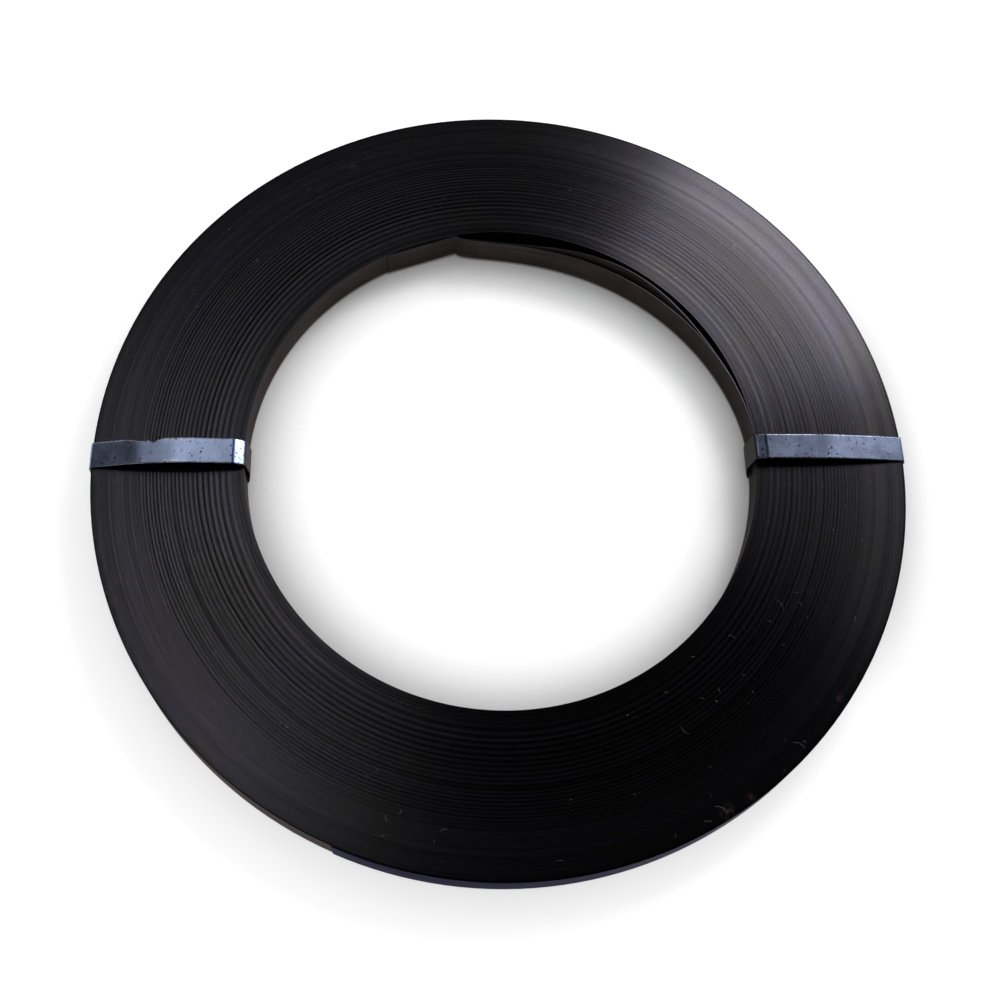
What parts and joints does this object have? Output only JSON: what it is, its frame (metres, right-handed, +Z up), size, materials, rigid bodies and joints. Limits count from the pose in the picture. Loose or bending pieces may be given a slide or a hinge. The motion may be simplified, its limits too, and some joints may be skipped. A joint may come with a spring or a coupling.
{
  "type": "steel strapping coil",
  "caption": "Ribbon-wound coil of black steel strapping lying flat, with loose inner turns, held by flat steel tie bands on opposite sides.",
  "frame": {"origin": "on the coil's winding axis, at the floor it lies on", "axes": "+Z up along the winding axis, +X through the right tie band"},
  "size_m": [0.6494, 0.6448, 0.0438],
  "materials": {
    "black_strap": "black waxed steel strap, turn edges in a fine sheen, light dust and rust specks",
    "blued_steel": "blue tempered steel band, worn edges with rust specks"
  },
  "bodies": {
    "root": {"strap_coil": "black_strap", "tie_band_left": "blued_steel", "tie_band_right": "blued_steel"}
  },
  "joints": []
}
